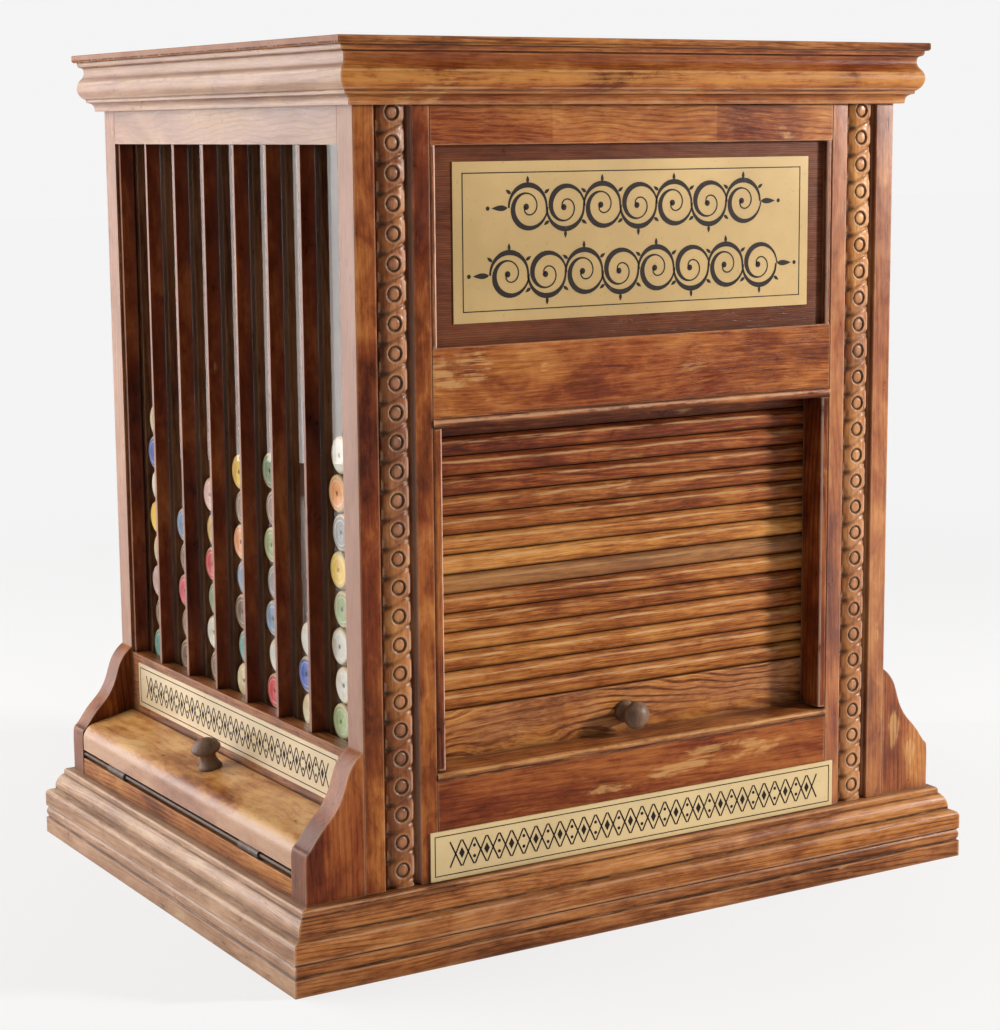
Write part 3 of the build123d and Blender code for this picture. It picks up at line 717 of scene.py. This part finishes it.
class Sign:
    """Flat black shapes laid on a plate, in its own (u, v), each as thick as a coat of paint."""

    THICK = 0.12

    def __init__(self, origin, along, up, out):
        self.origin, self.along, self.up, self.out = map(Vector, (origin, along, up, out))
        self.verts, self.faces = [], []

    def point(self, u, v, lift):
        self.verts.append(tuple(self.origin + self.along * u + self.up * v + self.out * lift))

    def outline(self, points):
        """A closed flat shape from its outline, counter-clockwise seen from outside."""
        start, count = len(self.verts), len(points)
        for lift in (0.0, self.THICK):
            for u, v in points:
                self.point(u, v, lift)
        self.faces.append(tuple(start + count + i for i in range(count)))
        self.faces.append(tuple(start + count - 1 - i for i in range(count)))
        self.faces += [(a, b, b + count, a + count) for a, b in around(2, count, start)]

    def ribbon(self, path, widths):
        """A flat stroke along path with its own width at each point."""
        start = len(self.verts)
        for i, (u, v) in enumerate(path):
            before, after = path[max(i - 1, 0)], path[min(i + 1, len(path) - 1)]
            du, dv = after[0] - before[0], after[1] - before[1]
            size = math.hypot(du, dv) or 1.0
            nu, nv = -dv / size * widths[i] / 2, du / size * widths[i] / 2
            for sense in (1, -1):
                for lift in (0.0, self.THICK):
                    self.point(u + sense * nu, v + sense * nv, lift)
        end = start + 4 * (len(path) - 1)
        for a in range(start, end, 4):
            b = a + 4
            self.faces += [(a + 1, a + 3, b + 3, b + 1), (a, b, b + 2, a + 2), (a, a + 1, b + 1, b),
                           (a + 2, b + 2, b + 3, a + 3)]
        self.faces += [(start, start + 2, start + 3, start + 1), (end, end + 1, end + 3, end + 2)]

    def frame_line(self, half_u, half_v, width):
        in_u, in_v = half_u - width, half_v - width
        for u0, u1, v0, v1 in ((-half_u, half_u, in_v, half_v), (-half_u, half_u, -half_v, -in_v),
                               (-half_u, -in_u, -in_v, in_v), (in_u, half_u, -in_v, in_v)):
            self.outline([(u0, v0), (u1, v0), (u1, v1), (u0, v1)])

    def disc(self, u, v, radius, sides=20):
        self.outline([(u + x, v + y) for x, y in ring(radius, sides)])

    def leaf(self, u, v, direction, length, width):
        """A pointed leaf that starts at (u, v)."""
        steps = 12
        along = (math.cos(direction), math.sin(direction))
        side = (-along[1], along[0])
        swell = [(i / steps, width * math.sin(math.pi * (i / steps) ** 0.75)) for i in range(steps + 1)]
        self.outline([(u + along[0] * length * t + k * side[0] * w / 2,
                       v + along[1] * length * t + k * side[1] * w / 2)
                      for k, row in ((-1, swell), (1, swell[-2:0:-1])) for t, w in row])

    def running_scroll(self, v, cells, radius):
        """A stem that runs over and under its scrolls, each scroll curling in to a ball."""
        first = -(cells - 1) * radius
        for i in range(cells):
            centre, over = first + 2 * radius * i, 1 if i % 2 == 0 else -1

            def at(angle, reach):
                return centre + reach * math.cos(angle), v + over * reach * math.sin(angle)

            arc = [k / 24 for k in range(25)]
            self.ribbon([at(math.pi * (1 - t), radius) for t in arc],
                        [1.5 + 2.2 * math.sin(math.pi * t) ** 2 for t in arc])
            curl = [k / 48 for k in range(49)]
            path = [at(-t * math.radians(560), radius * (1 - t) ** 0.9 * 0.97 + 1.4) for t in curl]
            self.ribbon(path, [1.0 + 3.0 * math.sin(math.pi * min(1.0, t * 2.0)) ** 1.5 for t in curl])
            self.disc(*path[-1], 2.2)
            for lean in (35, 90, 145):
                angle = math.radians(lean)
                self.leaf(*at(angle, radius + 1.2), over * angle, 5.2, 2.4)
        for end in (-1, 1):
            self.leaf(end * (cells * radius + 1.0), v, 0 if end > 0 else math.pi, 13.0, 4.0)
            self.disc(end * (cells * radius + 17.0), v, 1.5)

    def piece(self, name, material):
        return new_piece(name, self.verts, self.faces, "cabinet", material, crease=30)


def front_ornament(material):
    """Two running scrolls on the tall plate, inside a thin border."""
    sign = Sign((0, -208.8, 502.15), (1, 0, 0), (0, 0, 1), (0, -1, 0))
    sign.frame_line(146.0, 47.6, 0.75)
    sign.running_scroll(23.0, 7, 15.5)
    sign.running_scroll(-23.0, 8, 15.5)
    sign.piece("sign_plate_ornament", material)


def strip_ornament(name, origin, along, out, half_length, half_height, material):
    """Two crossing zigzags with a lozenge in each eye, inside a thin border, on a low plate."""
    sign = Sign(origin, along, (0, 0, 1), out)
    sign.frame_line(half_length - 3.2, half_height - 3.2, 0.7)
    eyes, reach = 16, half_height - 8.6
    pitch = (2 * half_length - 30) / eyes
    for flip in (1, -1):
        path = []
        for i in range(2 * eyes + 1):
            u = (i - eyes) * pitch / 2
            path += [(u - 0.6, flip * reach * (-1) ** i), (u + 0.6, flip * reach * (-1) ** i)]
        sign.ribbon(path[1:-1], [1.15] * (len(path) - 2))
    for i in range(1, eyes):
        for v in (-reach, reach):
            sign.disc((i - eyes / 2) * pitch, v * 0.42, 1.25, 12)
    for i in range(eyes):
        u = (i - (eyes - 1) / 2) * pitch
        sign.outline([(u, -reach * 0.45), (u + 2.3, 0), (u, reach * 0.45), (u - 2.3, 0)])
    sign.piece(name, material)


# ---- old nail holes

# Holes seen in the photo: (place, axis that they look down, radius).
HOLES = (((-231.5, 9.4, 590.2), X, 1.3), ((-231.5, -11.2, 586.4), X, 1.1),
         ((-231.5, 195.8, 581.6), X, 1.2), ((-231.5, -193.7, 590.0), X, 1.0),
         ((-33.9, -213.0, 588.7), Y, 1.2))


def nail_holes(name, holes, material, sides=12):
    """Small dark plugs with a hollow in their heads."""
    verts, faces = [], []
    for middle, axis, radius in holes:
        start = len(verts)
        first, second = (i for i in (X, Y, Z) if i != axis)
        for lift, size in ((-0.3, 1.0), (0.04, 1.0), (-0.12, 0.55)):
            for a, b in ring(radius * size, sides):
                point = list(middle)
                point[axis] -= lift
                point[first] += a
                point[second] += b
                verts.append(tuple(point))
        head = start + 2 * sides
        new = [(a, b, b + sides, a + sides) for a, b in around(3, sides, start)]
        new += [tuple(range(head, head + sides)), tuple(reversed(range(start, start + sides)))]
        faces += [tuple(reversed(face)) for face in new] if axis == X else new
    return new_piece(name, verts, faces, "cabinet", material)


# ---- dressing the model

# Painted shade for grooves and gaps; painted highlights, partly rubbing, for crests.
SHADE_LINE, SOFT_SHADE_LINE = (0.04, 0.012, 0.005), (0.105, 0.052, 0.034)
RUBBED_HIGHLIGHT, WORN_GOLD_HIGHLIGHT = (0.48, 0.285, 0.165), (0.52, 0.24, 0.055)
COVE = (0.18, 0.045, 0.012)
# Level lines of the mouldings, painted shade in the grooves and painted highlights on the crests: (height, half
# height, amount, tone).
BASE_BANDS = ((54.6, 0.7, 0.7, RUBBED_HIGHLIGHT), (51.0, 0.9, 0.8, SHADE_LINE), (39.0, 1.5, 0.9, SHADE_LINE), (36.2, 0.9, 0.7, RUBBED_HIGHLIGHT),
              (22.4, 1.2, 0.9, SHADE_LINE), (24.2, 0.6, 0.5, RUBBED_HIGHLIGHT), (13.3, 1.2, 0.9, SHADE_LINE), (11.6, 0.6, 0.4, RUBBED_HIGHLIGHT))
CORNICE_BANDS = ((633.9, 0.9, 0.8, SHADE_LINE), (630.2, 1.1, 0.9, SHADE_LINE), (626.0, 3.5, 0.5, COVE),
                 (613.0, 6.0, 0.5, WORN_GOLD_HIGHLIGHT), (617.8, 1.2, 0.7, WORN_AND_HIGHLIGHT), (606.2, 0.8, 0.6, RUBBED_HIGHLIGHT),
                 (604.6, 0.8, 0.8, SHADE_LINE), (601.4, 1.8, 0.5, SHADE_LINE), (597.2, 1.0, 0.4, RUBBED_HIGHLIGHT))


def softened(bands):
    """The same painted shade lines and painted highlights on pale wood, without the broad ones."""
    return [(z, half, amount * 0.85, SOFT_SHADE_LINE if tone == SHADE_LINE else PALE_GOLD[3])
            for z, half, amount, tone in bands if half < 3.0]


PALE = dict(second=PALE_GOLD, gloss=0.24, grain=0.45, cloud=0.55, line=0.2, corner_shade=0.45)
DULL = dict(gloss=0.24, gold=0.35)
BARS = dict(line=0.1, shift=-0.16, gold=0.0)
DIVIDERS = dict(shift=0.1, gold=0.1)
CHUTE_BACK = dict(gold=0.1, cloud=0.4)
LID = dict(figure=0.45, wavy=1.6, grain=0.45, line=0.16, cloud=1.6, gold=0.35, gloss=0.26)
# node: (grain axis, tones, rounding in mm, wear, edges, other options of oak).
# A node's seed is its number in this table.
DRESS = {
    "base_front": (X, BROWN_OAK, 0.7, 0.35, 0.6, dict(line=0.45, figure=1.25, grain=0.75, bands=BASE_BANDS)),
    "base_left": (Y, SUN_OAK, 0.7, 0.4, 0.6, dict(
        PALE, cloud=0.9, grain=0.8, shift=0.1, bands=softened(BASE_BANDS))),
    "base_right": (Y, BROWN_OAK, 0.7, 0.45, 0.8, dict(DULL, bands=BASE_BANDS)),
    "base_back": (X, BROWN_OAK, 0.7, 0.3, 0.7, dict(DULL, bands=BASE_BANDS)),
    "cornice_front": (X, RED_OAK, 0.5, 0.35, 0.6, dict(shift=0.06, grain=0.7, line=0.15, bands=CORNICE_BANDS)),
    "cornice_left": (Y, PALE_OAK, 0.5, 0.2, 0.4, dict(
        PALE, gold=0.6, shift=0.04, bands=softened(CORNICE_BANDS))),
    "cornice_right": (Y, BROWN_OAK, 0.5, 0.3, 0.6, dict(DULL, bands=CORNICE_BANDS)),
    "cornice_back": (X, BROWN_OAK, 0.5, 0.2, 0.5, dict(DULL, bands=CORNICE_BANDS)),
    "top_board": (X, BROWN_OAK, 0.6, 0.4, 0.5, dict(
        shift=-0.04, rough=0.6, gloss=0.03, side_sheen=1.0, bands=((635.6, 0.9, 0.7, SHADE_LINE),))),
    "bottom_board": (X, INNER_OAK, 0.5, 0.1, 0.3, {}),
    "front_top_rail": (X, RED_OAK, 0.8, 0.25, 0.5, dict(
        shift=-0.03, gold=0.7, cloud=0.8, wavy=0.8, grain=0.8, line=0.25, zone=(-0.075, 0.066, 0.14))),
    "front_middle_rail": (X, RED_OAK, 0.9, 0.3, 0.5, dict(
        shift=0.02, gold=0.45, grain=0.75, line=0.2, bands=((384.2, 0.9, 0.8, SHADE_LINE),),
        spots=((-150, 415, 45, 18, 0.17), (-82, 414, 7, 6, 0.19), (-60, 417, 8, 7, 0.2),
               (54, 405, 26, 16, 0.11)))),
    "front_bottom_rail": (X, RED_OAK, 0.8, 0.3, 0.5, dict(
        gold=0.25, cloud=0.8, grain=0.6, line=0.15, bands=((127.9, 0.9, 0.8, SHADE_LINE),),
        spots=((85, 113, 75, 14, 0.23), (30, 106, 35, 9, 0.15), (-35, 101, 45, 7, 0.17)))),
    "left_front_stile": (Z, RED_OAK, 0.9, 0.15, 0.6, dict(
        grain=0.35, line=0.1, cloud=1.3, shift=-0.22, side_sheen=1.0, corner_shade=0.35)),
    "right_front_stile": (Z, RED_OAK, 0.9, 0.3, 0.8, dict(
        grain=0.5, line=0.15, shift=0.03, gloss=0.45, corner_shade=0.35,
        spots=((180, 120, 5, 55, 0.15), (223, 160, 6, 60, 0.14)))),
    "door_surround": (X, RED_OAK, 0.0, 0.1, 0.8, dict(
        shift=-0.14, gold=0.2, grain=0.6, posts=(165.9, 376.4, 1.6),
        bands=((381.3, 1.7, 0.75, RUBBED_HIGHLIGHT), (377.5, 2.0, 0.8, SHADE_LINE)))),
    "door_sill": (X, BROWN_OAK, 0.5, 0.8, 0.7, dict(
        shift=-0.08, line=0.5, bands=((129.0, 1.3, 0.9, SHADE_LINE), (132.6, 1.4, 0.6, WORN_AND_HIGHLIGHT)))),
    "sign_panel": (X, DARK_OAK, 0.0, 0.05, 0.1, dict(
        line=0.2, shift=0.16, ribs=0.0016, gold=0.0, cloud=0.6, grain=0.6, corner_shade=0.5)),
    "sign_beads": (Z, RED_OAK, 0.0, 0.1, 1.0, dict(shift=-0.1, gold=0.2, gloss=0.3, posts=(168.4, 600.0, 1.7))),
    "back_frame": (Z, BROWN_OAK, 0.8, 0.25, 0.4, dict(DULL, side_sheen=0.7)),
    "back_panel": (Z, BROWN_OAK, 0.0, 0.2, 0.2, dict(DULL, figure=0.6, line=0.6, wavy=1.0)),
    "left_front_wing": (Z, RED_OAK, 0.8, 0.25, 0.5, dict(grain=0.5, line=0.2, shift=-0.08, side_sheen=0.35)),
    "right_front_wing": (Z, RED_OAK, 0.8, 0.4, 0.5, dict(
        grain=0.6, line=0.3, shift=0.12, gloss=0.3, spots=((243, 106, 9, 26, 0.17), (259, 88, 8, 12, 0.14)))),
    "left_rear_wing": (Z, RED_OAK, 0.8, 0.2, 0.5, dict(grain=0.5, side_sheen=0.45, shift=-0.1)),
    "right_rear_wing": (Z, BROWN_OAK, 0.8, 0.2, 0.5, DULL),
    "left_frieze": (Y, PALE_OAK, 0.7, 0.25, 0.3, dict(PALE, wavy=0.8, gold=0.7, shift=-0.1)),
    "right_frieze": (Y, BROWN_OAK, 0.7, 0.3, 0.5, DULL),
    "left_sign_board": (Y, BROWN_OAK, 0.8, 0.3, 0.5, dict(shift=-0.1, gold=0.2, gloss=0.2, side_sheen=0.15)),
    "right_sign_board": (Y, BROWN_OAK, 0.8, 0.3, 0.6, DULL),
    "left_glazing_bars": (Z, RED_OAK, 0.25, 0.0, 0.05, dict(BARS, grain=0.15, gloss=0.2, side_sheen=0.5)),
    "right_glazing_bars": (Z, RED_OAK, 0.25, 0.1, 0.45, dict(BARS, grain=0.5, gloss=0.3)),
    "left_chute_dividers": (Z, INNER_OAK, 0.3, 0.05, 0.2, DIVIDERS),
    "right_chute_dividers": (Z, INNER_OAK, 0.3, 0.05, 0.2, DIVIDERS),
    "left_chute_back": (Z, INNER_OAK, 0.0, 0.05, 0.1, CHUTE_BACK),
    "right_chute_back": (Z, INNER_OAK, 0.0, 0.05, 0.1, CHUTE_BACK),
    "trough_floors": (Y, INNER_OAK, 0.3, 0.2, 0.3, dict(gold=0.2)),
    "hinge_strips": (Y, BROWN_OAK, 0.5, 0.7, 0.6, dict(shift=0.05)),
    "left_lid": (Y, LID_OAK, 1.0, 0.1, 0.15, dict(LID, shift=0.17, side_sheen=0.75)),
    "right_lid": (Y, LID_OAK, 1.0, 0.1, 0.15, dict(LID, shift=0.04)),
    "store_floor": (X, INNER_OAK, 0.3, 0.1, 0.2, {}),
    "door_guides": (Z, INNER_OAK, 0.3, 0.1, 0.2, {}),
    "door_slats": (X, RED_OAK, 0.45, 0.35, 0.2, dict(
        line=0.25, cloud=0.8, corner_shade=0.35, gold=1.0, slats=(0.171, 0.014))),
    "door_rail": (X, BROWN_OAK, 0.5, 0.2, 0.4, dict(
        figure=0.8, line=0.9, wavy=1.0, gold=1.0, cloud=0.9, shift=0.02)),
}
for seed, (node_name, (axis, tones, rounding, wear, edges, options)) in enumerate(DRESS.items(), 1):
    paint(nodes[node_name], oak("oak_" + node_name, axis, tones, float(seed), wear, edges, **options))
    if rounding:
        soften(nodes[node_name], rounding)

glass = window_glass()
steel = old_steel()
for side in ("left", "right"):
    paint(nodes[f"{side}_glass"], glass)
    paint(nodes[f"{side}_lid_hinges"], steel)
paint(nodes["hinge_rods"], steel)
paint(nodes["door_canvas"], canvas())
paint(nodes["sign_plate"], gold_plate("gold_sign", (0.47, 0.315, 0.125), 1.0))
paint(nodes["front_plate"], gold_plate("gold_front", (0.6, 0.45, 0.225), 2.0))
paint(nodes["side_plates"], gold_plate("gold_side", (0.66, 0.52, 0.32), 3.0))

for side, seed, shift in (("left", 44.0, -0.06), ("right", 45.0, 0.1)):
    carved = oak(f"oak_{side}_carving", Z, BROWN_OAK, seed, 0.15, 0.75, line=0.1, grain=0.5, gold=0.6, gloss=0.2,
                 shift=shift, corner_shade=0.4, carved=True)
    strip_verts, strip_faces, strip_shade_and_highlight = carved_strip()
    if side == "right":
        strip_verts = [(x + 2 * STRIP_X, y, z) for x, y, z in strip_verts]
    strip = new_piece(f"{side}_guilloche", strip_verts, strip_faces, "cabinet", carved,
                      [f"{side}_carved_strip"], 60)
    # The wear layer holds painted groove shade and rubbing with painted highlight.
    colour_layer(strip, "wear", [(groove_shade, rub_and_highlight, 0.0) for groove_shade, rub_and_highlight in strip_shade_and_highlight])

reel_stuff = thread_and_paper()
for side in ("left", "right"):
    make_reels(side, reel_stuff)

KNOB_TONES = ((0.045, 0.022, 0.013), (0.12, 0.062, 0.035), (0.21, 0.125, 0.075), (0.34, 0.23, 0.15))
DOOR_KNOB = Matrix.Translation((0, -190.6, 151.0)) @ Matrix.Rotation(math.radians(90), 4, "X")
LID_SLOPE = math.radians(12.5)
LID_KNOB_X = 250.0
LID_KNOB_Z = 105.2 - (LID_KNOB_X - 233.0) * math.tan(LID_SLOPE)
knob_wood = turned_wood("knob_turned", KNOB_TONES, 1.0)
make_knob("door_turned_knob", "door_knob", "door", 10.6, 24.3, DOOR_KNOB, knob_wood)
for side, sense in (("left", -1), ("right", 1)):
    tilt = Matrix.Rotation(sense * LID_SLOPE, 4, "Y")
    make_knob(f"{side}_lid_turned_knob", f"{side}_lid_knob", f"{side}_lid_body", 11.5, 24.0,
              Matrix.Translation((sense * LID_KNOB_X, 0, LID_KNOB_Z)) @ tilt, knob_wood)

black = black_paint()
nail_holes("old_nail_holes", HOLES, black)
front_ornament(black)
strip_ornament("front_plate_ornament", (0, -214.2, 74.1), (1, 0, 0), (0, -1, 0), 180.0, 17.9, black)
strip_ornament("left_plate_ornament", (-232.3, 0, 129.45), (0, -1, 0), (-1, 0, 0), 177.5, 17.85, black)
strip_ornament("right_plate_ornament", (232.3, 0, 129.45), (0, 1, 0), (1, 0, 0), 177.5, 17.85, black)


# ---- stage, light and camera

VIEW_YAW, VIEW_PITCH, VIEW_ROLL = math.radians(31.318), math.radians(-9.093), math.radians(-0.484)
FLOOR_HALF = 14.0
TABLE_END, TABLE_BLUR = 0.39, 0.004
NEARLY_WHITE = (1.0, 0.99, 0.98)


def make_floor():
    """A pale floor that keeps the object's shadow, seen nearly white, with a faint far edge."""
    mesh = bpy.data.meshes.new("floor")
    corners = [(x * FLOOR_HALF, y * FLOOR_HALF, 0) for x, y in ((-1, -1), (1, -1), (1, 1), (-1, 1))]
    mesh.from_pydata(corners, [], [(0, 1, 2, 3)])
    floor = bpy.data.objects.new("floor", mesh)
    scene.collection.objects.link(floor)
    s = Shader("floor_pale")
    place = s.own_place()
    tone = s.mix(s.noise(place, (3, 3, 3)), (0.86, 0.86, 0.855), (0.9, 0.9, 0.895))
    lit = s.add("BsdfDiffuse", {"Color": tone})
    far = s.ramp(s.add("VectorMath", {0: place}, operation="LENGTH").outputs["Value"], 0.7, 2.0)
    near_tone = s.times(s.minus(1.0, far), 0.2)
    seen_lit = s.add("BsdfDiffuse", {"Color": s.joined(near_tone, near_tone, near_tone)})
    here = s.split(place)
    away = s.plus(s.times(here[X], math.sin(VIEW_YAW)), s.times(here[Y], math.cos(VIEW_YAW)))
    brim = s.ramp(away, TABLE_END - TABLE_BLUR, TABLE_END + TABLE_BLUR)
    strength = s.plus(s.plus(s.times(brim, 0.012), 0.715), s.times(far, 0.175))
    glow = s.add("Emission", {"Color": (1.0, 1.0, 1.0, 1.0), "Strength": strength})
    seen = s.add("AddShader", {0: seen_lit.outputs[0], 1: glow.outputs[0]})
    eye = s.add("LightPath").outputs["Is Camera Ray"]
    s.show(s.either(eye, lit, seen))
    mesh.materials.append(s.material)


def make_world():
    """White behind the object, dimmer where it only lights it, and paler to the rear left in gloss."""
    world = bpy.data.worlds.new("studio")
    scene.world = world
    world.use_nodes = True
    s = Shader("studio", world.node_tree)
    path = s.add("LightPath").outputs
    sky = s.add("TexCoord").outputs["Generated"]
    turned = s.add("VectorMath", {0: sky, 1: (-0.52, 0.85, 0.0)}, operation="DOT_PRODUCT").outputs["Value"]
    window = s.plus(s.times(s.ramp(turned, -0.6, 0.8), 0.3), 0.38)
    soft = s.add("Background", {"Color": rgba(NEARLY_WHITE), "Strength": 0.24})
    mirrored = s.add("Background", {"Color": rgba(NEARLY_WHITE), "Strength": window})
    seen = s.add("Background", {"Color": (0.91, 0.91, 0.91, 1.0), "Strength": 1.0})
    gloss = s.either(path["Is Glossy Ray"], soft, mirrored)
    straight = s.math("MAXIMUM", path["Is Camera Ray"], path["Is Transmission Ray"])
    s.show(s.either(straight, gloss, seen), "OutputWorld")


def area_lamp(name, place, target, width, height, radiance, tone):
    """A soft box of the given radiance, seen by gloss and not by the camera."""
    lamp = bpy.data.lights.new(name, "AREA")
    lamp.shape = "RECTANGLE"
    lamp.size, lamp.size_y = width, height
    lamp.energy = radiance * math.pi * width * height
    lamp.color = tone
    holder = bpy.data.objects.new(name, lamp)
    scene.collection.objects.link(holder)
    holder.location = place
    aim = Vector(target) - Vector(place)
    holder.rotation_euler = aim.to_track_quat("-Z", "Y").to_euler()
    holder.visible_camera = False


def make_camera():
    """The photo's camera: fitted place, direction, lens and shift."""
    level = math.cos(VIEW_PITCH)
    ahead = Vector((math.sin(VIEW_YAW) * level, math.cos(VIEW_YAW) * level, math.sin(VIEW_PITCH)))
    right = ahead.cross(Vector((0, 0, 1))).normalized()
    up = right.cross(ahead)
    cos_roll, sin_roll = math.cos(VIEW_ROLL), math.sin(VIEW_ROLL)
    turn = Matrix((right * cos_roll + up * sin_roll, up * cos_roll - right * sin_roll, -ahead)).transposed()
    data = bpy.data.cameras.new("camera")
    data.sensor_width = 36.0
    data.lens = 82.97
    data.shift_x, data.shift_y = 0.00218, -0.00568
    data.clip_start, data.clip_end = 0.05, 60.0
    camera = bpy.data.objects.new("camera", data)
    scene.collection.objects.link(camera)
    camera.matrix_world = Matrix.Translation((-0.9727, -1.6112, 0.5788)) @ turn.to_4x4()
    scene.camera = camera


make_floor()
make_world()
area_lamp("key", (1.67, -1.26, 0.85), (0.0, -0.2, 0.33), 0.25, 0.25, 283.0, (1.0, 0.97, 0.93))
area_lamp("side", (-1.45, 1.15, 0.78), (-0.2, 0.0, 0.33), 1.8, 1.5, 5.2, (1.0, 0.965, 0.945))
area_lamp("overhead", (-0.3, -0.3, 2.4), (0.0, 0.0, 0.3), 1.6, 1.6, 1.0, (1.0, 1.0, 1.0))
make_camera()
scene.view_settings.view_transform = "Standard"
